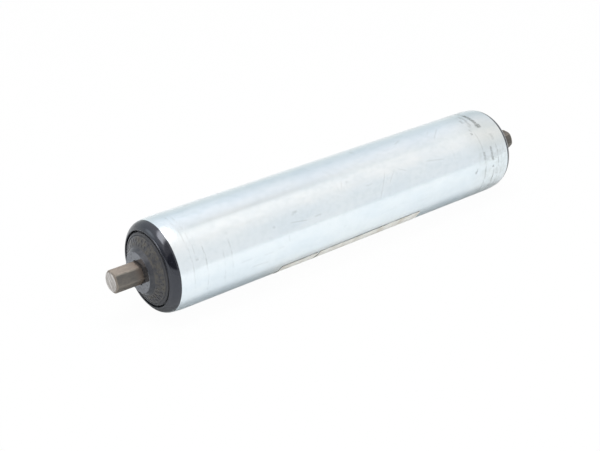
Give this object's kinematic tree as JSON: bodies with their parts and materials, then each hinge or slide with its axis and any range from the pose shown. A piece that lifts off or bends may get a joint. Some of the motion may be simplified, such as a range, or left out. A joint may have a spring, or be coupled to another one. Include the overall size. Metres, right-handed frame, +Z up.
{
  "type": "conveyor roller",
  "caption": "Steel-tube conveyor roller on ball bearings with domed labyrinth seal covers and a spring-loaded hexagonal axle.",
  "frame": {"origin": "middle of the roller, on its axis", "axes": "+X along the axis towards the far end, +Z up, as the roller lies level"},
  "size_m": [0.285, 0.05, 0.0502],
  "materials": {
    "zinc_tube": "zinc-plated, blue-white passivated",
    "axle_steel": "bare drawn steel, dull",
    "housing_plastic": "moulded, glossy black",
    "cover_plastic": "moulded, satin dark grey",
    "seal_ring_plastic": "moulded, black",
    "bush_plastic": "moulded, natural",
    "bearing_steel": "ground bearing steel",
    "cage_steel": "pressed steel",
    "spring_steel": "drawn spring wire",
    "washer_steel": "zinc-plated",
    "label_paper": "matt, slightly dirty"
  },
  "bodies": {
    "axle": {"axle": "axle_steel", "stop_washers": "washer_steel", "stop_pins": "spring_steel", "axle_spring": "spring_steel"},
    "core": {"near_bush": "bush_plastic", "far_bush": "bush_plastic", "near_inner_ring": "bearing_steel", "far_inner_ring": "bearing_steel", "near_cover": "cover_plastic", "far_cover": "cover_plastic", "spring_seat": "washer_steel"},
    "near_cage": {"near_balls": "bearing_steel", "near_cage": "cage_steel"},
    "far_cage": {"far_balls": "bearing_steel", "far_cage": "cage_steel"},
    "roller": {"tube": "zinc_tube", "near_housing": "housing_plastic", "far_housing": "housing_plastic", "near_seal_ring": "seal_ring_plastic", "far_seal_ring": "seal_ring_plastic", "near_outer_ring": "bearing_steel", "far_outer_ring": "bearing_steel", "near_shields": "cage_steel", "far_shields": "cage_steel", "label_long": "label_paper", "label_short": "label_paper"}
  },
  "joints": [
    {"name": "axle_float", "type": "slide", "parent": "axle", "child": "core", "axis": [-1, 0, 0], "range_m": [0, 0.012], "stiffness_N_per_m": 1470, "springref_m": -0.0134, "deforming": ["axle_spring"]},
    {"name": "tube_spin", "type": "hinge", "parent": "core", "child": "roller", "pos_m": [0, 0, 0], "axis": [1, 0, 0], "continuous": true},
    {"name": "near_cage_spin", "type": "hinge", "parent": "core", "child": "near_cage", "pos_m": [0, 0, 0], "axis": [1, 0, 0], "continuous": true},
    {"name": "far_cage_spin", "type": "hinge", "parent": "core", "child": "far_cage", "pos_m": [0, 0, 0], "axis": [1, 0, 0], "continuous": true}
  ],
  "couplings": [
    {"joint": "near_cage_spin", "follows": "tube_spin", "ratio": 0.6013},
    {"joint": "far_cage_spin", "follows": "tube_spin", "ratio": 0.6013}
  ]
}
